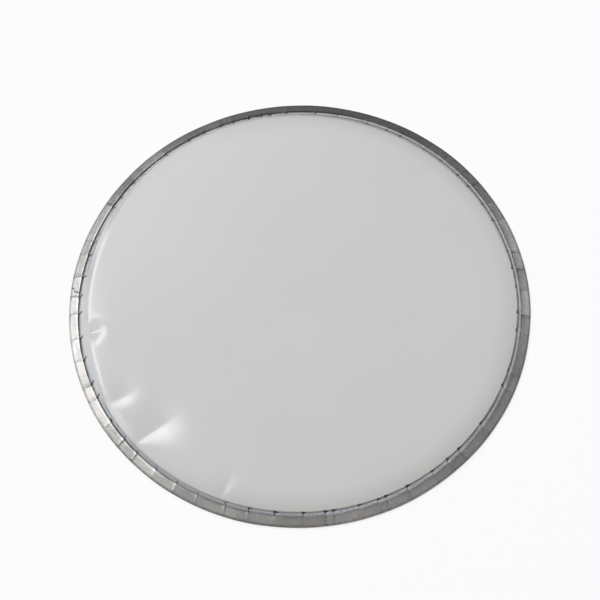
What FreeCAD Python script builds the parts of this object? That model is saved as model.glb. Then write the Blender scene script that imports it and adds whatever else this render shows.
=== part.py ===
import FreeCAD, Part
import math
import os

# Drum head for a 12 inch shell. A milky film is drawn into a low collar, its hem is turned
# round a core wire, and a roll-formed aluminium channel is crimped shut over hem and wire.
# Millimetres, +Z up. The origin is on the axis, in the plane that the hoop rests on.

# Hoop: a strip rolled into a channel, with its mouth between the bore wall and the lip
bore_diameter = 307.0        # clear inside, passes over the drum shell
channel_width = 6.5          # from the bore to the outside of the hoop
shoulder_height = 1.85       # of the middle of the strip, where the outer wall meets the lip
strip_thickness = 0.5
bend_radius = 0.6            # of the middle of the strip
seam_angle = 172.9           # where the two ends of the strip meet
seam_gap = 0.4
seam_skew = 32.0             # degrees that the seam slants from the radius, clockwise

# Crimps: short presses side by side, each between two of these angles, and unevenly deep.
# The press was fed by hand, so the angles follow no rule.
crimp_angles = [
    1.5, 7, 12, 22, 27.5, 34, 38.5, 45, 50.5, 58.5, 62.5, 68.5, 70, 77, 83, 91, 95.5, 98, 101.5,
    106, 109.5, 114.5, 119, 126.5, 135, 138.5, 144, 147.5, 156.5, 159, 163, 169.5, 175, 180, 187,
    193, 200, 204, 211.5, 217.5, 222.5, 229, 235.5, 241.5, 249, 255, 261.5, 268.5, 274, 276,
    282.5, 287.5, 289.5, 295.5, 303, 308, 312, 321, 333, 337.5, 349, 354,
]
crimp_lift = 0.35            # from the hardest pressed lip to the least pressed one
press_turn = 137.5           # degrees, steps the depth through its range

# Film: playing surface, collar, shelf and hem in one sheet
film_thickness = 0.25
shelf_width = 3.2            # from the bore in to the foot of the collar
collar_rise = 1.8            # from the foot to the playing surface
collar_slope = 68.0          # degrees from the level
crown_radius = 1.0           # of the middle of the film, at the playing surface
foot_radius = 0.6            # of the middle of the film, at the shelf
hem_tail = 0.6               # past the wire

# Core wire that keeps the hem in the channel
wire_diameter = 1.0
wire_inset = 1.3             # from the bore wall
wire_joint_angle = 350.0
wire_joint_gap = 1.0

# Clearances
pinch_clearance = 0.05       # film to the wall under it and to the lip over it
wrap_clearance = 0.15        # hem to wire, which lies loose in it
floor_clearance = 0.55       # hem to the floor of the channel

AXIS = FreeCAD.Vector(0, 0, 1)
CENTRE = FreeCAD.Vector(0, 0, 0)


def step(point, direction, distance):
    return (point[0] + direction[0] * distance, point[1] + direction[1] * distance)


def unit(a, b):
    length = math.dist(a, b)
    return ((b[0] - a[0]) / length, (b[1] - a[1]) / length)


def vector(point):
    return FreeCAD.Vector(point[0], 0, point[1])


def turn(before, after):
    """Signed angle between two directions, positive to the left."""
    cross = before[0] * after[1] - before[1] * after[0]
    dot = before[0] * after[0] + before[1] * after[1]
    return math.atan2(cross, dot)


def shifted(points, distance):
    """The same line of points, moved to its left by a distance."""
    ways = [unit(a, b) for a, b in zip(points, points[1:])]
    ways = [ways[0]] + ways + [ways[-1]]
    moved = []
    for point, before, after in zip(points, ways, ways[1:]):
        left = (-before[1] - after[1], before[0] + after[0])
        share = 1 + before[0] * after[0] + before[1] * after[1]
        moved.append(step(point, left, distance / share))
    return moved


def rounded(points, radii):
    """Edges along the points, with an arc of its radius at each inner one."""
    edges = []
    start = points[0]
    for a, b, c, radius in zip(points, points[1:], points[2:], radii):
        into = unit(a, b)
        away = unit(b, c)
        half_turn = turn(into, away) / 2
        reach = radius * math.tan(abs(half_turn))
        arc_start = step(b, into, -reach)
        arc_end = step(b, away, reach)
        inward = unit(b, step(step(b, into, -1), away, 1))
        arc_middle = step(b, inward, radius / math.cos(half_turn) - radius)
        if math.dist(start, arc_start) > 1e-6:
            edges.append(Part.LineSegment(vector(start), vector(arc_start)).toShape())
        edges.append(Part.Arc(vector(arc_start), vector(arc_middle), vector(arc_end)).toShape())
        start = arc_end
    edges.append(Part.LineSegment(vector(start), vector(points[-1])).toShape())
    return edges


def sheet_section(points, radii, thickness):
    """Section of a bent sheet, from the middle line of its thickness."""
    ways = [unit(a, b) for a, b in zip(points, points[1:])]
    sides = [math.copysign(thickness / 2, turn(a, b)) for a, b in zip(ways, ways[1:])]
    left = shifted(points, thickness / 2)
    right = shifted(points, -thickness / 2)
    edges = rounded(left, [radius - side for radius, side in zip(radii, sides)])
    edges += rounded(right, [radius + side for radius, side in zip(radii, sides)])
    edges.append(Part.LineSegment(vector(left[0]), vector(right[0])).toShape())
    edges.append(Part.LineSegment(vector(left[-1]), vector(right[-1])).toShape())
    return Part.Face(Part.Wire(Part.sortEdges(edges)[0]))


def swept(section, start, span):
    section = section.copy()
    section.rotate(CENTRE, AXIS, start)
    return section.revolve(CENTRE, AXIS, span)


# Section through the rim, as (radius, height). The wire lies in its hem above the channel's
# floor, and the lip is the straight line from the shoulder that just clears the hem.
bore_radius = bore_diameter / 2
outer_radius = bore_radius + channel_width
half_strip = strip_thickness / 2
wire_radius = wire_diameter / 2
hem_radius = wire_radius + wrap_clearance + film_thickness / 2
pinch = film_thickness / 2 + pinch_clearance

wire_r = bore_radius + strip_thickness + wire_inset + wire_radius
wire_z = strip_thickness + floor_clearance + film_thickness / 2 + hem_radius
wire_centre = (wire_r, wire_z)
shoulder = (outer_radius - half_strip, shoulder_height)

shoulder_reach = math.dist(wire_centre, shoulder)
shoulder_drop = math.asin((wire_z - shoulder_height) / shoulder_reach)
lip_slope = shoulder_drop + math.asin((hem_radius + pinch + half_strip) / shoulder_reach)
fall = (math.cos(lip_slope), -math.sin(lip_slope))
under = (fall[1], -fall[0])
over_wire = step(wire_centre, under, -hem_radius)


def on_film(radius):
    """The point of the film's sloping shelf and hem at a distance from the axis."""
    return step(over_wire, fall, (radius - over_wire[0]) / fall[0])


bore_wall_height = on_film(bore_radius + strip_thickness)[1] - pinch / fall[0]
foot = on_film(bore_radius - shelf_width)
playing_z = foot[1] + collar_rise


def film():
    """Playing surface, crown, collar, shelf, and the hem turned round the wire."""
    crown = (foot[0] - collar_rise / math.tan(math.radians(collar_slope)), playing_z)
    first_turn = step(over_wire, fall, hem_radius)
    second_turn = step(first_turn, under, 2 * hem_radius)
    tail = step(second_turn, fall, -hem_radius - hem_tail)
    points = [(0, playing_z), crown, foot, first_turn, second_turn, tail]
    radii = [crown_radius, foot_radius, hem_radius, hem_radius]
    return swept(sheet_section(points, radii, film_thickness), 0, 360)


def core_wire():
    circle = Part.Circle(vector(wire_centre), FreeCAD.Vector(0, 1, 0), wire_radius)
    section = Part.Face(Part.Wire(circle.toShape()))
    gap = math.degrees(wire_joint_gap / wire_r)
    return swept(section, wire_joint_angle + gap / 2, 360 - gap)


def channel_section(lift):
    """Section of the channel with its lip raised above the hardest pressed place."""
    pressed = step(on_film(bore_radius), under, -pinch - half_strip)
    lip = (pressed[0], pressed[1] + lift)
    toe = (shoulder[0], half_strip)
    heel = (bore_radius + half_strip, half_strip)
    mouth_edge = (bore_radius + half_strip, bore_wall_height)
    points = [lip, shoulder, toe, heel, mouth_edge]
    return sheet_section(points, [bend_radius] * 3, strip_thickness)


def lip_lift(press):
    return crimp_lift * (1 + math.cos(math.radians(2 * press * press_turn))) / 2


def seam_cut():
    """A thin slanted gap through the whole channel."""
    length = 3 * channel_width
    height = 2 * playing_z
    corner = FreeCAD.Vector(-length / 2, -seam_gap / 2, -height / 2)
    gap = Part.makeBox(length, seam_gap, height, corner)
    gap.rotate(CENTRE, AXIS, -seam_skew)
    gap.translate(FreeCAD.Vector(bore_radius + channel_width / 2, 0, 0))
    gap.rotate(CENTRE, AXIS, seam_angle)
    return gap


def channel_hoop():
    """One pressed stretch of channel per crimp, joined into a ring that is open at the seam."""
    ends = crimp_angles[1:] + [crimp_angles[0] + 360]
    stretches = []
    for press, (start, end) in enumerate(zip(crimp_angles, ends)):
        stretches.append(swept(channel_section(lip_lift(press)), start, end - start))
    ring = stretches[0].multiFuse(stretches[1:]).removeSplitter()
    return ring.cut(seam_cut())


pieces = {"film": film, "core_wire": core_wire, "channel_hoop": channel_hoop}

os.makedirs("parts", exist_ok=True)
for name, make in pieces.items():
    shape = make()
    solid = shape.Solids[0]
    solid.exportStep(os.path.join("parts", name + ".step"))
    print(name, len(shape.Solids), "solid", round(solid.Volume, 1), "mm3")

print("lip slope", round(math.degrees(lip_slope), 2), "bore wall", round(bore_wall_height, 3))
print("wire", wire_centre, "foot", foot, "playing surface", round(playing_z, 3))
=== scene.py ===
import bpy
import math
import numpy as np
from mathutils import Matrix, Vector


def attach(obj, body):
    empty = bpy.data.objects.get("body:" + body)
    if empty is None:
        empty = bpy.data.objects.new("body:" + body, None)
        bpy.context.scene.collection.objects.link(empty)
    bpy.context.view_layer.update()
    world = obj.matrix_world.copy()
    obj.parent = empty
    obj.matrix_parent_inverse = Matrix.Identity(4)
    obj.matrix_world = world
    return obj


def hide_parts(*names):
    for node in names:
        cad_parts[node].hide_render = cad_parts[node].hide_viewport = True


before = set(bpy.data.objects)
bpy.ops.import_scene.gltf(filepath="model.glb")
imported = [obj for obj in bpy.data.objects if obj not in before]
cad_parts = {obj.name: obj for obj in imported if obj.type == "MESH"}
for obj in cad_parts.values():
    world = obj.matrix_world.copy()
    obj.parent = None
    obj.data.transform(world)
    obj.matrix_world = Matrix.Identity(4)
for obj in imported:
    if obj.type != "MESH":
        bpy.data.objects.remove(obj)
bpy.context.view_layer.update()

from types import SimpleNamespace

mm = 0.001

# marks of the crimping press, in degrees round the head, shared by hoop and film
crimpMarks = [
    1.5, 7, 12, 22, 27.5, 34, 38.5, 45, 50.5, 58.5, 62.5, 68.5, 70, 77, 83, 91, 95.5, 98, 101.5,
    106, 109.5, 114.5, 119, 126.5, 135, 138.5, 144, 147.5, 156.5, 159, 163, 169.5, 175, 180, 187,
    193, 200, 204, 211.5, 217.5, 222.5, 229, 235.5, 241.5, 249, 255, 261.5, 268.5, 274, 276,
    282.5, 287.5, 289.5, 295.5, 303, 308, 312, 321, 333, 337.5, 349, 354,
]


def perBite(seed):  # a value from -1 to 1 for each bite of the press, the same each run
    waves = [math.sin(bite * 12.9898 + seed * 4.1414) for bite in range(len(crimpMarks))]
    spread = np.array(waves) * 43758.5453
    return 2 * (spread - np.floor(spread)) - 1


def ease(low, high, value):
    part = np.clip((value - low) / (high - low), 0, 1)
    return part * part * (3 - 2 * part)


def stretch(value, start, full, wane, end):  # 1 from full to wane, soft at both ends
    return ease(start, full, value) * (1 - ease(wane, end, value))


def hump(distance, width):
    return np.exp(-(distance / width) ** 2)


def arcPoints(corner, before, after, radius, count):  # rounds one corner of a section
    corner, before, after = (np.array(p, float) for p in (corner, before, after))
    into = (corner - before) / np.linalg.norm(corner - before)
    away = (after - corner) / np.linalg.norm(after - corner)
    halfTurn = math.acos(np.clip(into @ away, -1, 1)) / 2
    side = math.copysign(1, into[0] * away[1] - into[1] * away[0])
    start = corner - into * radius * math.tan(halfTurn)
    centre = start + radius * side * np.array([-into[1], into[0]])
    points = []
    for step in range(count):
        turn = side * 2 * halfTurn * step / (count - 1)
        spoke = start - centre
        points.append((
            centre[0] + spoke[0] * math.cos(turn) - spoke[1] * math.sin(turn),
            centre[1] + spoke[0] * math.sin(turn) + spoke[1] * math.cos(turn),
        ))
    return points


def spinSection(name, section, steps, sweep):
    bpy.ops.object.select_all(action="DESELECT")
    bpy.ops.mesh.primitive_plane_add(size=0.001, location=(0, 0, 0))
    piece = bpy.context.object
    piece.name = name
    piece.data.name = name
    bpy.ops.object.mode_set(mode="EDIT")
    bpy.ops.mesh.select_all(action="SELECT")
    bpy.ops.mesh.merge(type="CENTER")
    bpy.ops.transform.translate(value=(section[0][0] * mm, 0, section[0][1] * mm))
    for a, b in zip(section, section[1:]):
        move = ((b[0] - a[0]) * mm, 0, (b[1] - a[1]) * mm)
        bpy.ops.mesh.extrude_vertices_move(TRANSFORM_OT_translate={"value": move})
    bpy.ops.mesh.select_all(action="SELECT")
    bpy.ops.mesh.spin(steps=steps, angle=math.radians(sweep), center=(0, 0, 0), axis=(0, 0, 1))
    bpy.ops.mesh.select_all(action="SELECT")
    bpy.ops.mesh.remove_doubles(threshold=1e-6)
    bpy.ops.object.mode_set(mode="OBJECT")
    return piece


def readGrid(piece, section, steps, sweep):  # row along the section and column round the head
    co = np.empty(len(piece.data.vertices) * 3)
    piece.data.vertices.foreach_get("co", co)
    co = co.reshape(-1, 3) / mm
    radius = np.hypot(co[:, 0], co[:, 1])
    points = np.array(section)
    row = np.argmin((radius[:, None] - points[:, 0]) ** 2 + (co[:, 2:3] - points[:, 1]) ** 2, axis=1)
    angle = np.degrees(np.arctan2(-co[:, 1], co[:, 0])) % 359.9999  # the spin goes clockwise
    column = np.rint(angle / (sweep / steps)).astype(int)
    return row, column


def crowdColumns(knots, perSpan):  # more columns near the crimp marks
    crowding = 0.115
    angles = []
    for a, b in zip(knots, knots[1:]):
        for i in range(perSpan):
            u = i / perSpan
            angles.append(a + (b - a) * (u - crowding * math.sin(2 * math.pi * u)))
    return angles


def biteSpot(angle, radius):  # the bite each vertex is in, and its way from that bite's two ends
    bites = np.array(crimpMarks + [crimpMarks[0] + 360])
    turned = (angle - bites[0]) % 360 + bites[0]
    bite = np.clip(np.searchsorted(bites, turned, side="right") - 1, 0, len(crimpMarks) - 1)
    spot = SimpleNamespace(angle=angle, radius=radius, bite=bite, nextBite=(bite + 1) % len(crimpMarks))
    spot.span = bites[bite + 1] - bites[bite]
    spot.fromStart = (turned - bites[bite]) * math.pi / 180 * radius
    spot.toEnd = (bites[bite + 1] - turned) * math.pi / 180 * radius
    spot.share = spot.fromStart / np.maximum(spot.fromStart + spot.toEnd, 1e-6)
    return spot


def placeVertices(piece, radius, angle, height):
    turn = np.radians(angle)
    co = np.stack([radius * np.cos(turn), radius * np.sin(turn), height], axis=1) * mm
    piece.data.vertices.foreach_set("co", co.ravel())
    piece.data.update()


def turnOutwards(piece):
    bpy.ops.object.select_all(action="DESELECT")
    piece.select_set(True)
    bpy.context.view_layer.objects.active = piece
    bpy.ops.object.mode_set(mode="EDIT")
    bpy.ops.mesh.select_all(action="SELECT")
    bpy.ops.mesh.normals_make_consistent(inside=False)
    bpy.ops.object.mode_set(mode="OBJECT")


def thicken(piece, thickness):
    wall = piece.modifiers.new("wall", "SOLIDIFY")
    wall.thickness = thickness * mm
    wall.offset = 0
    wall.use_even_offset = True
    bpy.ops.object.modifier_apply(modifier=wall.name)


def addLayer(piece, name, values):
    layer = piece.data.attributes.new(name, "FLOAT", "POINT")
    layer.data.foreach_set("value", np.clip(values, 0, 1))


def ringUv(piece, along):  # metres round the ring and along the section
    ringRadius = 0.156
    layer = piece.data.uv_layers.new(name="strip")
    mesh = piece.data
    corner = np.empty(len(mesh.loops), int)
    mesh.loops.foreach_get("vertex_index", corner)
    co = np.empty(len(mesh.vertices) * 3)
    mesh.vertices.foreach_get("co", co)
    co = co.reshape(-1, 3)
    turn = np.degrees(np.arctan2(co[:, 1], co[:, 0])) % 360
    u = turn[corner].reshape(-1, 4)
    u = np.where((u.max(axis=1) - u.min(axis=1) > 180)[:, None] & (u < 180), u + 360, u).ravel()
    uv = np.stack([np.radians(u) * ringRadius, along[corner] * mm], axis=1)
    layer.data.foreach_set("uv", uv.ravel())


# channel hoop: a bent aluminium strip, pressed shut in short bites
hoopSet = {
    "outside": 160.0,
    "bore": 153.5,
    "strip": 0.5,
    "bend": 0.6,
    "lipEdge": (153.64, 3.97),
    "shoulderHeight": 1.85,
    "mouthHeight": 3.209,
    "lipRows": (0, 0.05, 0.12, 0.2, 0.3, 0.45, 0.62, 0.8),  # shares of the lip's width
    "floorRows": (157.5, 155.5),
    "wallRows": (1.6, 2.5),
    "columnsPerBite": 13,
    "lift": 0.35,
    "depthTurn": 137.5,
    "tilt": 0.05,        # of a bite, along the ring
    "step": 0.55,        # length of the step from bite to bite
    "ridge": 0.38,       # raised end of a bite
    "hollow": 0.05,      # in the middle of a bite
    "curl": 0.10,        # of the lip's free edge, down
    "clear": 0.10,       # under the whole lip, so that the curled edge clears the film
    "scallop": 0.18,
    "waver": 0.14,       # of the outside, all round
    "seamAt": 172.9,
    "seamGap": 0.4,
    "seamSkew": 22.0,
    "seamJog": 0.75,     # degrees, near the outside
    "jogRows": (157.5, 157.9),
    "sides": {           # stretches round the head, in degrees: each starts, is full, wanes and ends
        "even": (140, 160, 200, 212),
        "noMarkShade": (120, 150, 262, 285),
        "shadedWall": (205, 222, 262, 275),
        "shadedTop": (45, 75, 131, 143),
        "shadedLeft": (191, 197, 210, 217),
        "litBiteEnds": (202, 215, 250, 262),
        "litLip": (137, 157, 188, 199),
        "litEdge": (197, 206, 228, 242),
        "litWall": (290, 320, 350, 358),
    },
}


def hoopSection():
    half = hoopSet["strip"] / 2
    outerWall, boreWall = hoopSet["outside"] - half, hoopSet["bore"] + half
    lip = np.array(hoopSet["lipEdge"])
    shoulder = (outerWall, hoopSet["shoulderHeight"])
    toe, heel = (outerWall, half), (boreWall, half)
    mouth = (boreWall, hoopSet["mouthHeight"])
    bend = hoopSet["bend"]
    shoulderArc = arcPoints(shoulder, lip, toe, bend, 5)
    lipRows = [tuple(lip + (np.array(shoulderArc[0]) - lip) * share) for share in hoopSet["lipRows"]]
    toeArc = arcPoints(toe, shoulder, heel, bend, 4)
    floorRows = [(radius, half) for radius in hoopSet["floorRows"]]
    heelArc = arcPoints(heel, toe, mouth, bend, 4)
    wallRows = [(boreWall, height) for height in hoopSet["wallRows"]]
    return lipRows + shoulderArc + toeArc + floorRows + heelArc + wallRows + [mouth], len(lipRows)


def hoopMiddle():
    return (hoopSet["bore"] + hoopSet["outside"]) / 2


def hoopColumns():  # from one end of the strip round to the other
    halfGap = math.degrees(hoopSet["seamGap"] / 2 / hoopMiddle())
    first = hoopSet["seamAt"] + halfGap
    last = hoopSet["seamAt"] + 360 - halfGap
    marks = sorted(m for mark in crimpMarks for m in (mark, mark + 360) if first + 0.3 < m < last - 0.3)
    return np.array(crowdColumns([first] + marks + [last], hoopSet["columnsPerBite"]) + [last])


def biteHeight(spot):  # each bite has its own height, with a short step to the next one
    numbers = np.arange(len(crimpMarks))
    lifts = hoopSet["lift"] * (1 + np.cos(np.radians(2 * numbers * hoopSet["depthTurn"]))) / 2
    tilts = hoopSet["tilt"] * perBite(3)
    starts, ends = lifts - tilts, lifts + tilts
    own = lifts[spot.bite] + tilts[spot.bite] * (2 * spot.share - 1)
    own += (ends[spot.bite - 1] - starts[spot.bite]) * 0.5 * (1 - ease(0, hoopSet["step"], spot.fromStart))
    own += (starts[spot.nextBite] - ends[spot.bite]) * 0.5 * (1 - ease(0, hoopSet["step"], spot.toEnd))
    even = 1 - 0.55 * stretch(spot.angle % 360, *hoopSet["sides"]["even"])
    return hoopSet["lift"] / 2 + (own - hoopSet["lift"] / 2) * even


def paintHoopShadeAndSheen(piece, spot):  # painted shade along the marks, in the seam, on the outer wall and on parts of the lip, and painted highlights on the lip and wall
    around = spot.angle % 360
    side = {name: stretch(around, *limits) for name, limits in hoopSet["sides"].items()}
    fromRight = np.abs((around + 180) % 360 - 180)         # in degrees
    markShade = 0.5 + 0.5 * perBite(13)
    # painted shade: beside the step just past each press mark, in the seam, on the outer wall at the front
    # left, on the far lip, over part of the left lip's reflection, and on the right lip, most towards its
    # free edge
    paintedShade = 0.3 * hump(spot.fromStart, 0.25) * markShade[spot.bite] * (spot.out > 0) * (1 - side["noMarkShade"])
    paintedShade += 0.9 * hump(spot.fromSeam, 0.3) * (1 - 4 * spot.jog * (1 - spot.jog))
    paintedShade += 0.45 * side["shadedWall"] * ~spot.onLip * (spot.height > 0.3)
    paintedShade += 0.13 * spot.onLip * side["shadedTop"]
    paintedShade += 0.12 * spot.onLip * side["shadedLeft"]
    paintedShade += 0.25 * spot.onLip * ease(0.5, 0.85, spot.out) * (1 - ease(20, 40, fromRight))
    paintedShade += 0.15 * spot.onLip * (1 - ease(5, 13, fromRight))
    addLayer(piece, "paintedShade", paintedShade)
    # painted highlights: on the raised end of each bite at the front left, over the left lip, along the
    # free edge at the front left, and on the outside at the front right
    paintedLight = 0.7 + 0.3 * perBite(17)
    paintedSheen = side["litBiteEnds"] * paintedLight[spot.bite] * hump(spot.toEnd, spot.wide) + 0.38 * side["litLip"]
    paintedSheen += 0.4 * side["litEdge"] * ease(0.75, 0.9, spot.out)
    addLayer(piece, "paintedSheen", np.where(spot.onLip, paintedSheen, side["litWall"]))


def makeHoop():
    section, lipCount = hoopSection()
    points = np.array(section)
    columns = hoopColumns()
    steps = len(columns) - 1
    sweep = 359.0                                          # the two ends of the strip stay apart
    piece = spinSection("channelHoop", section, steps, sweep)
    row, column = readGrid(piece, section, steps, sweep)
    radius, height = points[row, 0].copy(), points[row, 1].copy()
    spot = biteSpot(columns[column], points[row, 0])

    # how far out along the lip, 0 at the shoulder and 1 at the free edge
    lipStart, lipEnd = points[lipCount, 0], points[0, 0]
    spot.onLip = row <= lipCount
    spot.out = np.where(spot.onLip, np.clip((lipStart - radius) / (lipStart - lipEnd), 0, 1), 0)
    out = spot.out

    # a bite ends in a raised wedge, widest at the free edge, and is slightly hollow
    ridges = hoopSet["ridge"] * (0.65 + 0.35 * perBite(7))
    spot.wide = 0.5 + out
    nearStart = 0.5 * ridges[spot.bite] * hump(spot.fromStart, 0.5)
    nearEnd = ridges[spot.nextBite] * hump(spot.toEnd, spot.wide) * ease(-0.4, 0.4, spot.toEnd)
    height += biteHeight(spot) * out + (nearStart + nearEnd) * np.where(spot.onLip, 0.3 + 0.7 * out, 0)
    height += hoopSet["clear"] * out - hoopSet["curl"] * np.clip((out - 0.75) / 0.25, 0, 1) ** 2
    belly = np.sin(math.pi * spot.share)
    height -= hoopSet["hollow"] * belly * out * (1 - out) * 4
    scallops = hoopSet["scallop"] * perBite(11)
    radius -= scallops[spot.bite] * belly * np.clip((out - 0.5) / 0.5, 0, 1) ** 2

    # the outside isn't quite round
    turn = np.radians(spot.angle)
    waver = 0.5 * np.sin(9 * turn + 0.6) + 0.3 * np.sin(17 * turn + 2.1) + 0.2 * np.sin(29 * turn + 4.0)
    radius += hoopSet["waver"] * waver * np.clip((spot.radius - 154.5) / 5.5, 0, 1)

    # both ends of the strip are cut on a slant, with a step near the outside
    middle = hoopMiddle()
    spot.fromSeam = np.minimum(spot.angle - columns[0], columns[-1] - spot.angle) * math.pi / 180 * middle
    slant = -math.tan(math.radians(hoopSet["seamSkew"])) * (spot.radius - middle) / middle
    spot.jog = ease(*hoopSet["jogRows"], spot.radius)
    slant -= math.radians(hoopSet["seamJog"]) * (spot.jog - 0.5)
    spot.angle = spot.angle + np.degrees(slant) * hump(spot.fromSeam, 4.0)
    spot.height = height
    placeVertices(piece, radius, spot.angle, height)

    paintHoopShadeAndSheen(piece, spot)
    lengths = np.concatenate([[0], np.cumsum(np.hypot(*np.diff(points, axis=0).T))])
    turnOutwards(piece)
    ringUv(piece, lengths[row])
    thicken(piece, hoopSet["strip"])
    bpy.ops.object.shade_smooth_by_angle(angle=math.radians(40))
    print("hoop:", len(piece.data.polygons), "faces,", len(crimpMarks), "bites")
    return piece


# film: one sheet, flat over the head, drawn over a low collar and turned round the core wire
filmSet = {
    "thickness": 0.25,
    "level": 6.478,
    "crown": (150.09, 6.478),
    "crownRadius": 1.0,
    "foot": (150.9, 4.47),
    "footRadius": 0.6,
    "hem": [(156.786, 2.428), (156.278, 0.964), (154.979, 1.414)],
    "hemRadius": 0.775,
    "flatRows": (
        0, 25, 55, 80, 95, 104, 110, 115, 119.5, 123.5, 127, 130, 132.6, 135, 137.2, 139.2,
        140.9, 142.2, 143.3, 144.2, 145, 145.6, 146.2, 147, 148, 148.8,
    ),
    "shelfRows": (151.35, 151.55, 151.8, 152.1, 152.4, 152.8, 153.2, 153.5, 153.8, 154.6, 155.4),
    "surfaceEnd": 151.3,  # end of the collar
    "seenEnd": 153.8,     # beyond it the lip hides the film
    "columnsPerBite": 13,
    "fall": 1.0,          # of the playing surface towards its rim
    "fallFrom": 131.0,
    "slackRadius": 6.5,   # round of the crown on the left, where the collar lies slack
    "pillow": 0.2,        # between two creases of the shelf
    "crease": 0.7,
    "pleat": 0.55,
    "notch": 0.8,         # at the foot, where a pleat begins
    "wave": 0.05,         # of the playing surface
    "sides": {            # stretches round the head, in degrees: each starts, is full, wanes and ends
        "creased": (50, 125, 240, 262),      # elsewhere the shelf is pleated
        "shortCreases": (198, 212, 245, 258),
        "noFall": (65, 95, 158, 185),
        "upperLeft": (40, 75, 150, 165),
        "farRim": (2, 20, 128, 152),
        "paintedLight": (203, 220, 262, 280),
        "gap": (60, 100, 205, 235),
        "pale": (118, 160, 196, 212),
        "lit": (85, 125, 212, 240),
        "brightest": (140, 162, 203, 222),
    },
    "dents": [            # each opens inwards from a point of the rim, with its spreads in degrees
        {"at": 247.0, "from": 151.2, "reach": 24, "steep": 0.085, "left": 40, "right": 32, "turn": -4},
        {"at": 220.0, "from": 151.3, "reach": 44, "steep": 0.143, "left": 72, "right": 48, "turn": -6},
        {"at": 207.1, "from": 150.6, "reach": 29, "steep": 0.16, "left": 80, "right": 50, "turn": 2},
        {"at": 186.2, "from": 148.2, "reach": 15, "steep": 0.04, "left": 16, "right": 16, "turn": 21},
        {"at": 45.0, "from": 149.5, "reach": 48, "steep": 0.025, "left": 45, "right": 40, "turn": -8},
    ],
    "pocket": {           # a place where the crown is pushed in
        "at": 185.2,
        "up": 3.0,
        "down": 4.8,
        "crown": 145.7,
        "push": 10.8,
        "wall": 2.9,
        "deep": 0.5,
        "rim": 0.15,
    },
}


def filmSection():
    level = filmSet["level"]
    crown, foot = filmSet["crown"], filmSet["foot"]
    first, second, tail = filmSet["hem"]
    slope = (first[1] - foot[1]) / (first[0] - foot[0])
    rows = [(radius, level) for radius in filmSet["flatRows"]]
    rows += arcPoints(crown, (0, level), foot, filmSet["crownRadius"], 6)
    rows += arcPoints(foot, crown, first, filmSet["footRadius"], 4)
    rows += [(radius, foot[1] + slope * (radius - foot[0])) for radius in filmSet["shelfRows"]]
    hem = filmSet["hemRadius"] * 0.999                     # leaves a little straight between its two bends
    rows += arcPoints(first, foot, second, hem, 4)
    rows += arcPoints(second, first, tail, hem, 4)[1:]
    return rows + [tail]


def pocketSide(angle):  # 0 in the middle of the pocket, 1 at either side of it
    pocket = filmSet["pocket"]
    fromMiddle = angle - pocket["at"]
    return np.abs(fromMiddle) / np.where(fromMiddle < 0, pocket["up"], pocket["down"])


def pocketPlace(radius, angle):  # 0 in the middle of the pocket, 1 at its edge
    pocket = filmSet["pocket"]
    inward = np.clip(pocket["crown"] - radius, 0, None) / pocket["push"]
    return np.hypot(inward, pocketSide(angle))


def dentDrop(x, y, dent):  # a fold, sharp at its point and soft further in
    turn = math.radians(dent["at"])
    inward = math.radians(dent["at"] + 180 + dent["turn"])
    fromX, fromY = x - dent["from"] * math.cos(turn), y - dent["from"] * math.sin(turn)
    along = fromX * math.cos(inward) + fromY * math.sin(inward)
    across = -fromX * math.sin(inward) + fromY * math.cos(inward)
    away = np.hypot(along, across)
    aside = np.degrees(np.arctan2(across, along))
    spread = (np.sqrt(aside ** 2 + 9) - 3) / np.where(aside > 0, dent["left"], dent["right"])
    fold = np.clip(1 - spread, 0, 1) ** 1.4
    return dent["steep"] * away * fold * (1 - ease(0.3 * dent["reach"], dent["reach"], away))


def pocketDrop(x, y, fall):  # a level floor, a short wall and a low swelling round it
    pocket = filmSet["pocket"]
    angle = np.degrees(np.arctan2(y, x)) % 360
    place = pocketPlace(np.hypot(x, y), angle)
    upper = 1 - ease(pocket["at"] - 3, pocket["at"] + 1, angle)
    inside = 1 - ease(1 - pocket["wall"] / pocket["push"], 1, place)
    swell = hump(place - 1.05, np.where(place < 1.05, 0.15, 1.1 - 0.6 * upper))
    swell *= pocket["rim"] * (1 + 1.1 * upper) * (1 - ease(0.6, 1.0, fall))
    return (pocket["deep"] - 0.85 * fall) * inside - swell


def slackSide(angle):  # the left, where the collar lies slack
    return ease(150, 171, angle) * (1 - 0.5 * ease(198, 210, angle) - 0.5 * ease(235, 262, angle))


def slackHeight(radius, angle):  # playing surface rounded straight into the slope of the shelf
    foot, first = filmSet["foot"], filmSet["hem"][0]
    slope = (foot[1] - first[1]) / (first[0] - foot[0])
    shelfTurn = math.atan(slope)
    roundness = filmSet["slackRadius"] * (1 - 0.85 * (1 - ease(0.7, 1.05, pocketSide(angle))))
    meet = foot[0] - (filmSet["level"] - foot[1]) / slope
    start = meet - roundness * math.tan(shelfTurn / 2)
    past = np.clip(radius - start, 0, roundness * math.sin(shelfTurn))
    rounded = filmSet["level"] - roundness + np.sqrt(roundness ** 2 - past ** 2)
    straight = foot[1] - slope * (radius - foot[0])
    return np.where(radius > start + roundness * math.sin(shelfTurn), straight, rounded)


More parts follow.
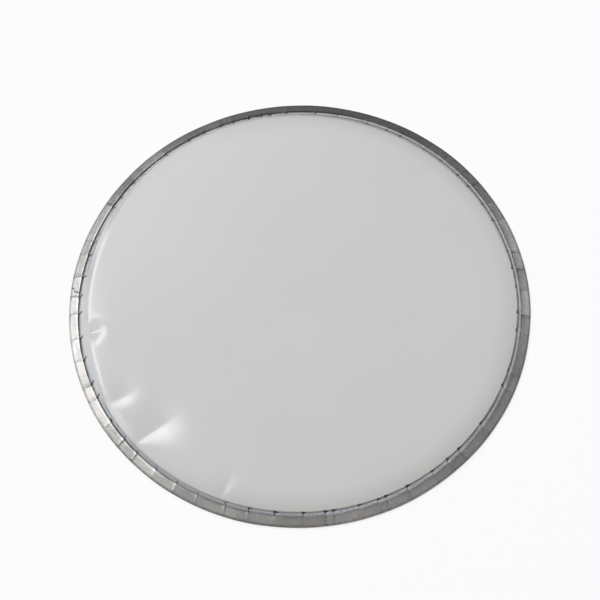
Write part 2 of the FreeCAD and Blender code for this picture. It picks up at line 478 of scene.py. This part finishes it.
def pleatShelf(spot):  # on the left a crease at each mark, elsewhere pleats that rise to the next mark
    strong = 0.75 + 0.25 * perBite(5)
    spot.strong = strong[spot.bite]
    spot.pleated = 1 - stretch(spot.angle, *filmSet["sides"]["creased"])
    inEnd = 150.0 + 1.3 * stretch(spot.angle, *filmSet["sides"]["shortCreases"])
    spot.creased = np.where(spot.seen, stretch(spot.radius, inEnd, inEnd + 0.7, 153.3, 154.4), 0)
    spot.cut = hump(spot.fromStart, 0.36) * spot.strong + hump(spot.toEnd, 0.36) * strong[spot.nextBite]
    turn = np.radians(spot.angle)
    reach = np.clip(1 - spot.fromStart / 2.8, 0, 1) * spot.strong
    reach *= 0.6 + 0.55 * np.clip(np.cos(turn) + 0.2, 0, 1)
    notchAt = 151.0 + 0.6 * np.clip(np.sin(turn), 0, 1)
    notch = np.clip(1.8 - 1.8 * np.abs(spot.radius - notchAt) / (0.08 + 1.8 * reach), 0, 1)
    spot.notch = np.where(spot.seen & (reach > 0), notch, 0)
    shelf = np.where(spot.seen, stretch(spot.radius, 150.95, 151.75, 152.6, 153.6), 0)
    pillow = filmSet["pillow"] * np.sin(math.pi * spot.share) ** 0.7
    pleat = filmSet["pleat"] * spot.share ** 1.3 * ease(-0.1, 0.4, spot.toEnd)
    rise = (pillow * (1 - spot.pleated) + pleat * spot.pleated) * np.minimum(spot.span / 5.0, 1) * shelf
    rise -= filmSet["crease"] * spot.cut * spot.creased * (1 - 0.6 * spot.pleated)
    return rise - filmSet["notch"] * spot.notch * spot.pleated


def paintFilmShade(piece, spot, side):  # painted shade: in creases and notches, along the foot and far rim, beside and under the lip
    paintedShade = 0.9 * np.minimum(spot.cut, 1) * spot.creased * (1 - 0.5 * spot.pleated)
    paintedShade += 0.95 * spot.notch * spot.pleated
    atFoot = np.where(spot.seen, hump(spot.radius - 150.95, 0.5), 0)
    paintedShade += 0.5 * atFoot * (1 - spot.slack) * (1 - side["paintedLight"]) * (1 - 0.3 * side["upperLeft"])
    farRim = side["farRim"] * (1 - 0.35 * ease(70, 100, spot.angle))
    behind = 0.9 * np.clip(np.sin(np.radians(spot.angle)), 0, 1)
    paintedShade += 0.5 * farRim * np.where(spot.surface, ease(148.7 - behind, 150.4 - behind, spot.radius), 0)
    mark = np.clip(1 - spot.fromStart / 2.4, 0, 1) * spot.strong * farRim * (1 - ease(50, 72, spot.angle))
    inward = 0.6 * mark + behind
    paintedShade += 0.8 * mark * np.where(spot.surface, ease(149.6 - inward, 150.3 - inward, spot.radius), 0)
    rightSide = np.clip(ease(305, 325, spot.angle) + 1 - ease(8, 18, spot.angle), 0, 1)
    paintedShade += 0.7 * rightSide * np.where(spot.seen, hump(spot.radius - 151.3, 0.35), 0)
    gapStart, gapEnd = 153.1 - 2.0 * side["gap"], 153.6 - 0.6 * side["gap"]
    paintedShade += 0.92 * np.where(spot.seen, ease(gapStart, gapEnd, spot.radius), 1)
    # painted shade on the shelf at the front left, darker towards the lip
    paintedShade += 0.33 * side["paintedLight"] * np.where(spot.seen, ease(148.6, 152.6, spot.radius), 0)
    addLayer(piece, "paintedShade", paintedShade)


def toneFilm(piece, spot, side):  # painted shade on the shelf and its smooth stretch on the left, paler on the left, a painted highlight at each pleat's end, and painted shade along the margin
    mouth = 1 - ease(0.55, 0.95, pocketSide(spot.angle))
    shadeStart = 150.2 - 4.7 * side["pale"] - 1.6 * mouth
    shadeEnd = 151.2 - 4.4 * side["pale"] - 1.4 * mouth
    shade = np.where(spot.seen, ease(shadeStart, shadeEnd, spot.radius), 1)
    # a painted highlight at the end of each pleat; the shelf's painted shade is eased on the left and
    # upper left, where the lamps fall
    pleatHighlight = hump(spot.toEnd, 1.1) * spot.pleated * ease(151.3, 152.1, spot.radius)
    shelf = shade * (1 - 0.25 * side["pale"]) * (1 - 0.4 * side["upperLeft"]) * (1 - 0.95 * pleatHighlight)
    addLayer(piece, "shelf", shelf)
    # painted shade along the margin of the playing surface, eased on the lit left
    margin = np.where(spot.surface, np.clip((spot.radius - 133) / 16.5, 0, 1) ** 2, 1)
    addLayer(piece, "margin", margin * (1 - 0.6 * side["lit"] - 0.4 * side["brightest"]))
    # the smooth stretch on the left gets its own painted shade and a little more roughness
    addLayer(piece, "dullShadedLeft", shade * side["pale"])


def makeFilm():
    section = filmSection()
    points = np.array(section)
    columns = np.array(crowdColumns(crimpMarks + [crimpMarks[0] + 360], filmSet["columnsPerBite"]))
    steps = len(columns)
    piece = spinSection("drumFilm", section, steps, 360)
    row, column = readGrid(piece, section, steps, 360)
    spot = biteSpot(columns[column % steps] % 360, points[row, 0])
    spot.surface = row < np.argmax(points[:, 0] >= filmSet["surfaceEnd"])
    spot.seen = row <= np.argmax(points[:, 0] >= filmSet["seenEnd"])
    height = points[row, 1].copy()

    # on the left the foot and the steep wall are smoothed out
    spot.slack = slackSide(spot.angle)
    sunk = slackHeight(spot.radius, spot.angle) - height
    height += np.where(spot.surface & (spot.radius > 140), spot.slack * sunk, 0)

    # the shelf's pleats and creases stand square to the sheet, or upright where it is slack
    way = np.gradient(points, axis=0)
    way /= np.linalg.norm(way, axis=1)[:, None]
    rise = pleatShelf(spot)
    radius = spot.radius - way[row, 1] * rise * (1 - spot.slack)
    height += way[row, 0] * rise * (1 - spot.slack) + rise * spot.slack

    # creases lean with the way the sheet was pulled
    lean = np.degrees((0.5 - 1.5 * np.cos(np.radians(spot.angle))) / 151)
    lean *= np.where(spot.seen, 1 - ease(150.6, 153.6, spot.radius), 0) * ease(120, 140, spot.radius)
    spot.angle = spot.angle - lean

    # playing surface: broad fall to the rim, slow waves, the dents and the pocket
    side = {name: stretch(spot.angle, *limits) for name, limits in filmSet["sides"].items()}
    turn = np.radians(spot.angle)
    x, y = radius * np.cos(turn), radius * np.sin(turn)
    fall = filmSet["fall"] * (1 - side["noFall"]) * np.clip((radius - filmSet["fallFrom"]) / 18, 0, 1) ** 2
    drop = fall + filmSet["wave"] * np.sin(x / 31 + 1.3) * np.sin(y / 37 + 0.4)
    drop += sum(dentDrop(x, y, dent) for dent in filmSet["dents"]) + pocketDrop(x, y, fall)
    footHeight = filmSet["foot"][1]
    held = np.clip((height - footHeight) / (filmSet["level"] - footHeight), 0, 1)
    height -= np.where(spot.surface, drop * held, 0)
    placeVertices(piece, radius, spot.angle, height)

    paintFilmShade(piece, spot, side)
    toneFilm(piece, spot, side)
    turnOutwards(piece)
    thicken(piece, filmSet["thickness"])
    bpy.ops.object.shade_smooth_by_angle(angle=math.radians(60))
    print("film:", len(piece.data.polygons), "faces")
    return piece


# materials
def newMaterial(name):
    material = bpy.data.materials.new(name)
    material.use_nodes = True
    tree = material.node_tree
    return material, tree, tree.nodes["Principled BSDF"]


def addNode(tree, kind, **values):
    node = tree.nodes.new(kind)
    for key, value in values.items():
        if key in node.inputs:
            node.inputs[key].default_value = value
        else:
            setattr(node, key, value)
    return node


def addRamp(tree, stops):
    ramp = tree.nodes.new("ShaderNodeValToRGB")
    elements = ramp.color_ramp.elements
    while len(elements) > len(stops):
        elements.remove(elements[-1])
    while len(elements) < len(stops):
        elements.new(1.0)
    for element, (place, colour) in zip(elements, stops):
        element.position = place
        element.color = (*colour, 1)
    return ramp


def hoopMaterial():
    material, tree, shader = newMaterial("pressedAluminium")
    link = tree.links.new
    shader.inputs["Metallic"].default_value = 1.0
    uv = addNode(tree, "ShaderNodeUVMap", uv_map="strip")
    rolled = addNode(tree, "ShaderNodeMapping")            # lines left by the rollers
    rolled.inputs["Scale"].default_value = (18, 5200, 1)
    link(uv.outputs["UV"], rolled.inputs["Vector"])
    lines = addNode(tree, "ShaderNodeTexNoise", Scale=1.0, Detail=3.0, Roughness=0.6)
    link(rolled.outputs["Vector"], lines.inputs["Vector"])
    pressed = addNode(tree, "ShaderNodeMapping")           # short streaks left by the press
    pressed.inputs["Scale"].default_value = (1250, 420, 1)
    link(uv.outputs["UV"], pressed.inputs["Vector"])
    streaks = addNode(tree, "ShaderNodeTexNoise", Scale=1.0, Detail=2.0, Roughness=0.5)
    link(pressed.outputs["Vector"], streaks.inputs["Vector"])
    coords = addNode(tree, "ShaderNodeTexCoord")
    cloud = addNode(tree, "ShaderNodeTexNoise", Scale=55.0, Detail=4.0, Roughness=0.6)
    link(coords.outputs["Object"], cloud.inputs["Vector"])
    tint = addRamp(tree, [(0.3, (0.45, 0.440, 0.431)), (0.7, (0.58, 0.568, 0.557))])
    link(cloud.outputs["Fac"], tint.inputs["Fac"])
    grime = addRamp(tree, [(0.38, (0.66, 0.64, 0.62)), (0.62, (1.0, 1.0, 1.0))])
    link(streaks.outputs["Fac"], grime.inputs["Fac"])
    colour = addNode(tree, "ShaderNodeMix", data_type="RGBA", blend_type="MULTIPLY")
    colour.inputs["Factor"].default_value = 0.6
    link(tint.outputs["Color"], colour.inputs["A"])
    link(grime.outputs["Color"], colour.inputs["B"])
    place = addNode(tree, "ShaderNodeSeparateXYZ")
    link(uv.outputs["UV"], place.inputs["Vector"])
    across = addNode(tree, "ShaderNodeMapRange")           # from the lip's free edge across the strip
    across.inputs["From Max"].default_value = 0.018
    link(place.outputs["Y"], across.inputs["Value"])
    # painted shade across the strip: darker at the lip's free edge, a painted dark reflection along the
    # shoulder, and darker at the toe where the contact shadow falls
    sectionShade = addRamp(tree, [
        (0.0, (0.68, 0.68, 0.68)), (0.045, (0.72, 0.72, 0.72)),
        (0.08, (0.9, 0.9, 0.9)), (0.285, (0.85, 0.85, 0.85)),
        (0.298, (0.58, 0.56, 0.54)), (0.312, (0.58, 0.56, 0.54)),
        (0.325, (1.0, 1.0, 1.0)), (0.43, (1.0, 1.0, 1.0)),
        (0.455, (0.35, 0.34, 0.33)), (0.53, (0.9, 0.9, 0.9)),
    ])
    link(across.outputs["Result"], sectionShade.inputs["Fac"])
    sectionShaded = addNode(tree, "ShaderNodeMix", data_type="RGBA", blend_type="MULTIPLY")
    sectionShaded.inputs["Factor"].default_value = 1.0
    link(colour.outputs["Result"], sectionShaded.inputs["A"])
    link(sectionShade.outputs["Color"], sectionShaded.inputs["B"])
    # this layer holds painted shade, darkened towards near black
    paintedShade = addNode(tree, "ShaderNodeAttribute", attribute_name="paintedShade")
    shadePainted = addNode(tree, "ShaderNodeMix", data_type="RGBA")
    shadePainted.inputs["B"].default_value = (0.10, 0.095, 0.09, 1)
    link(paintedShade.outputs["Fac"], shadePainted.inputs["Factor"])
    # this layer holds painted highlights, lightened towards a pale metal
    paintedSheen = addNode(tree, "ShaderNodeAttribute", attribute_name="paintedSheen")
    sheenPainted = addNode(tree, "ShaderNodeMix", data_type="RGBA")
    sheenPainted.inputs["B"].default_value = (0.72, 0.71, 0.70, 1)
    link(paintedSheen.outputs["Fac"], sheenPainted.inputs["Factor"])
    link(sectionShaded.outputs["Result"], sheenPainted.inputs["A"])
    link(sheenPainted.outputs["Result"], shadePainted.inputs["A"])
    link(shadePainted.outputs["Result"], shader.inputs["Base Color"])
    rough = addNode(tree, "ShaderNodeMapRange")
    rough.inputs["To Min"].default_value = 0.32
    rough.inputs["To Max"].default_value = 0.44
    link(streaks.outputs["Fac"], rough.inputs["Value"])
    link(rough.outputs["Result"], shader.inputs["Roughness"])
    both = addNode(tree, "ShaderNodeMath", operation="ADD")
    link(lines.outputs["Fac"], both.inputs[0])
    link(streaks.outputs["Fac"], both.inputs[1])
    bump = addNode(tree, "ShaderNodeBump", Strength=0.25, Distance=0.0001)
    link(both.outputs["Value"], bump.inputs["Height"])
    link(bump.outputs["Normal"], shader.inputs["Normal"])
    return material


def filmMaterial():
    material, tree, shader = newMaterial("milkyFilm")
    link = tree.links.new
    shader.inputs["IOR"].default_value = 1.65
    coords = addNode(tree, "ShaderNodeTexCoord")
    shelf = addNode(tree, "ShaderNodeAttribute", attribute_name="shelf")
    mottle = addNode(tree, "ShaderNodeTexNoise", Scale=1100.0, Detail=3.0, Roughness=0.6)
    link(coords.outputs["Object"], mottle.inputs["Vector"])
    # the shelf's colour is painted shade, bluish and mottled at random
    crumpled = addRamp(tree, [(0.36, (0.29, 0.305, 0.33)), (0.64, (0.58, 0.60, 0.63))])
    link(mottle.outputs["Fac"], crumpled.inputs["Fac"])
    dullShadedLeft = addNode(tree, "ShaderNodeAttribute", attribute_name="dullShadedLeft")
    smoothed = addNode(tree, "ShaderNodeMix", data_type="RGBA")
    # painted shade for the smooth stretch on the left
    smoothed.inputs["B"].default_value = (0.365, 0.38, 0.405, 1)
    link(dullShadedLeft.outputs["Fac"], smoothed.inputs["Factor"])
    link(crumpled.outputs["Color"], smoothed.inputs["A"])
    margin = addNode(tree, "ShaderNodeAttribute", attribute_name="margin")
    sheet = addNode(tree, "ShaderNodeMix", data_type="RGBA")
    sheet.inputs["A"].default_value = (0.702, 0.702, 0.702, 1)
    # painted shade for the margin
    sheet.inputs["B"].default_value = (0.585, 0.58, 0.565, 1)
    link(margin.outputs["Fac"], sheet.inputs["Factor"])
    zones = addNode(tree, "ShaderNodeMix", data_type="RGBA")
    link(sheet.outputs["Result"], zones.inputs["A"])
    link(shelf.outputs["Fac"], zones.inputs["Factor"])
    link(smoothed.outputs["Result"], zones.inputs["B"])
    cloud = addNode(tree, "ShaderNodeTexNoise", Scale=14.0, Detail=3.0, Roughness=0.5)
    link(coords.outputs["Object"], cloud.inputs["Vector"])
    haze = addRamp(tree, [(0.0, (0.95, 0.95, 0.95)), (1.0, (1.0, 1.0, 1.0))])
    link(cloud.outputs["Fac"], haze.inputs["Fac"])
    colour = addNode(tree, "ShaderNodeMix", data_type="RGBA", blend_type="MULTIPLY")
    colour.inputs["Factor"].default_value = 1.0
    link(zones.outputs["Result"], colour.inputs["A"])
    link(haze.outputs["Color"], colour.inputs["B"])
    # this layer holds painted shade, darkened towards near black
    paintedShade = addNode(tree, "ShaderNodeAttribute", attribute_name="paintedShade")
    shadePainted = addNode(tree, "ShaderNodeMix", data_type="RGBA")
    shadePainted.inputs["B"].default_value = (0.06, 0.063, 0.07, 1)
    patchy = addNode(tree, "ShaderNodeMapRange")           # the painted shade lies in patches, evenly on the left
    patchy.inputs["From Min"].default_value = 0.35
    patchy.inputs["From Max"].default_value = 0.65
    patchy.inputs["To Min"].default_value = 0.35
    patchy.inputs["To Max"].default_value = 1.65
    link(mottle.outputs["Fac"], patchy.inputs["Value"])
    spread = addNode(tree, "ShaderNodeMix", data_type="FLOAT")
    spread.inputs["B"].default_value = 1.0
    link(dullShadedLeft.outputs["Fac"], spread.inputs["Factor"])
    link(patchy.outputs["Result"], spread.inputs["A"])
    amount = addNode(tree, "ShaderNodeMath", operation="MULTIPLY", use_clamp=True)
    link(paintedShade.outputs["Fac"], amount.inputs[0])
    link(spread.outputs["Result"], amount.inputs[1])
    link(amount.outputs["Value"], shadePainted.inputs["Factor"])
    link(colour.outputs["Result"], shadePainted.inputs["A"])
    link(shadePainted.outputs["Result"], shader.inputs["Base Color"])
    rough = addNode(tree, "ShaderNodeMapRange")
    rough.inputs["To Min"].default_value = 0.22
    rough.inputs["To Max"].default_value = 0.25
    link(cloud.outputs["Fac"], rough.inputs["Value"])
    duller = addNode(tree, "ShaderNodeMath", operation="MULTIPLY_ADD")
    duller.inputs[1].default_value = 0.02
    link(dullShadedLeft.outputs["Fac"], duller.inputs[0])
    link(rough.outputs["Result"], duller.inputs[2])
    link(duller.outputs["Value"], shader.inputs["Roughness"])
    grain = addNode(tree, "ShaderNodeTexNoise", Scale=2600.0, Detail=2.0)
    link(coords.outputs["Object"], grain.inputs["Vector"])
    bump = addNode(tree, "ShaderNodeBump", Strength=0.06, Distance=0.00005)
    link(grain.outputs["Fac"], bump.inputs["Height"])
    link(bump.outputs["Normal"], shader.inputs["Normal"])
    return material


def wireMaterial():
    material, tree, shader = newMaterial("drawnSteel")
    link = tree.links.new
    shader.inputs["Metallic"].default_value = 1.0
    coords = addNode(tree, "ShaderNodeTexCoord")
    marks = addNode(tree, "ShaderNodeTexNoise", Scale=900.0, Detail=3.0)
    link(coords.outputs["Object"], marks.inputs["Vector"])
    tint = addRamp(tree, [(0.3, (0.46, 0.46, 0.47)), (0.7, (0.60, 0.60, 0.61))])
    link(marks.outputs["Fac"], tint.inputs["Fac"])
    link(tint.outputs["Color"], shader.inputs["Base Color"])
    rough = addNode(tree, "ShaderNodeMapRange")
    rough.inputs["To Min"].default_value = 0.3
    rough.inputs["To Max"].default_value = 0.5
    link(marks.outputs["Fac"], rough.inputs["Value"])
    link(rough.outputs["Result"], shader.inputs["Roughness"])
    return material


hoop = makeHoop()
hoop.data.materials.append(hoopMaterial())
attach(hoop, "root")
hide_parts("channel_hoop")

film = makeFilm()
film.data.materials.append(filmMaterial())
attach(film, "root")
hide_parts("film")

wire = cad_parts["core_wire"]
wire.data.materials.clear()
wire.data.materials.append(wireMaterial())
print("pieces dressed")

# floor
floorSet = {"size": 40.0, "white": 0.94, "glow": 0.84}


def makeFloor():
    bpy.ops.object.select_all(action="DESELECT")
    bpy.ops.mesh.primitive_plane_add(size=floorSet["size"], location=(0, 0, 0))
    floor = bpy.context.object
    floor.name = "floor"
    material, tree, shader = newMaterial("paleFloor")
    link = tree.links.new
    shader.inputs["Base Color"].default_value = (*[floorSet["white"]] * 3, 1)
    shader.inputs["Roughness"].default_value = 0.9
    shader.inputs["Specular IOR Level"].default_value = 0.1
    glow = addNode(tree, "ShaderNodeEmission", Strength=1.0)
    path = addNode(tree, "ShaderNodeLightPath")
    shown = addNode(tree, "ShaderNodeMath", operation="MAXIMUM")
    link(path.outputs["Is Camera Ray"], shown.inputs[0])
    link(path.outputs["Is Glossy Ray"], shown.inputs[1])
    through = addNode(tree, "ShaderNodeMath", operation="MAXIMUM")
    link(shown.outputs["Value"], through.inputs[0])
    link(path.outputs["Is Transmission Ray"], through.inputs[1])
    amount = addNode(tree, "ShaderNodeMath", operation="MULTIPLY")
    amount.inputs[1].default_value = floorSet["glow"]
    link(through.outputs["Value"], amount.inputs[0])
    mix = addNode(tree, "ShaderNodeMixShader")
    link(amount.outputs["Value"], mix.inputs["Fac"])
    link(shader.outputs["BSDF"], mix.inputs[1])
    link(glow.outputs["Emission"], mix.inputs[2])
    link(mix.outputs["Shader"], tree.nodes["Material Output"].inputs["Surface"])
    floor.data.materials.append(material)


makeFloor()

# light: a wide soft lamp back left, weak ones round it, a room with a pale ceiling
lightSet = {
    "ceiling": 0.48,
    "walls": 0.03,
    "far": 4.0,
    "lamps": {
        "key": {"toward": (-0.51, 0.385, 0.77), "size": (4.0, 1.65), "power": 93.0},
        "back": {"toward": (-0.20, 0.64, 0.74), "size": (1.1, 1.1), "power": 11.0},
        "left": {"toward": (-0.37, -0.06, 0.927), "size": (2.1, 2.1), "power": 13.0},
        "fill": {"toward": (0.56, 0.43, 0.71), "size": (1.8, 1.8), "power": 21.0},
        "front": {"toward": (0.30, -0.30, 0.905), "size": (2.4, 2.4), "power": 5.0},
    },
}


def addLamp(name, lamp):
    toward = Vector(lamp["toward"])
    bpy.ops.object.light_add(type="AREA", location=toward.normalized() * lightSet["far"])
    light = bpy.context.object
    light.name = name + "Lamp"
    light.data.shape = "RECTANGLE"
    light.data.size, light.data.size_y = lamp["size"]
    light.data.energy = lamp["power"]
    light.rotation_euler = (-toward).to_track_quat("-Z", "Y").to_euler()


for lampName, lampSet in lightSet["lamps"].items():
    addLamp(lampName, lampSet)


def makeRoom():
    world = bpy.data.worlds.new("room")
    world.use_nodes = True
    tree = world.node_tree
    link = tree.links.new
    coords = addNode(tree, "ShaderNodeTexCoord")
    split = addNode(tree, "ShaderNodeSeparateXYZ")
    link(coords.outputs["Generated"], split.inputs["Vector"])
    rise = addNode(tree, "ShaderNodeMapRange", interpolation_type="SMOOTHSTEP")
    rise.inputs["From Min"].default_value = 0.50
    rise.inputs["From Max"].default_value = 0.95
    rise.inputs["To Min"].default_value = lightSet["walls"]
    rise.inputs["To Max"].default_value = lightSet["ceiling"]
    link(split.outputs["Z"], rise.inputs["Value"])
    link(rise.outputs["Result"], tree.nodes["Background"].inputs["Strength"])
    tree.nodes["Background"].inputs["Color"].default_value = (1, 1, 1, 1)
    bpy.context.scene.world = world


makeRoom()
print("light set")

# camera
cameraSet = {
    "far": 1.28,
    "height": 66.0,              # degrees above the table
    "roll": -2.70,
    "sensor": 36.0,
    "picture": 600,              # pixels, as are the next two
    "focal": 1842.9,
    "middle": (299.46, 306.92),
}


def makeCamera():
    data = bpy.data.cameras.new("camera")
    camera = bpy.data.objects.new("camera", data)
    bpy.context.scene.collection.objects.link(camera)
    rise = math.radians(cameraSet["height"])
    camera.location = (0, -cameraSet["far"] * math.cos(rise), cameraSet["far"] * math.sin(rise))
    look = (-camera.location).to_track_quat("-Z", "Y").to_matrix().to_4x4()
    spin = math.radians(cameraSet["roll"])
    camera.matrix_world = Matrix.Translation(camera.location) @ look @ Matrix.Rotation(spin, 4, "Z")
    data.sensor_width = cameraSet["sensor"]
    data.lens = cameraSet["sensor"] * cameraSet["focal"] / cameraSet["picture"]
    half = cameraSet["picture"] / 2
    data.shift_x = (half - cameraSet["middle"][0]) / cameraSet["picture"]
    data.shift_y = (cameraSet["middle"][1] - half) / cameraSet["picture"]
    data.clip_end = 100
    bpy.context.scene.camera = camera


makeCamera()
bpy.context.scene.view_settings.view_transform = "Standard"
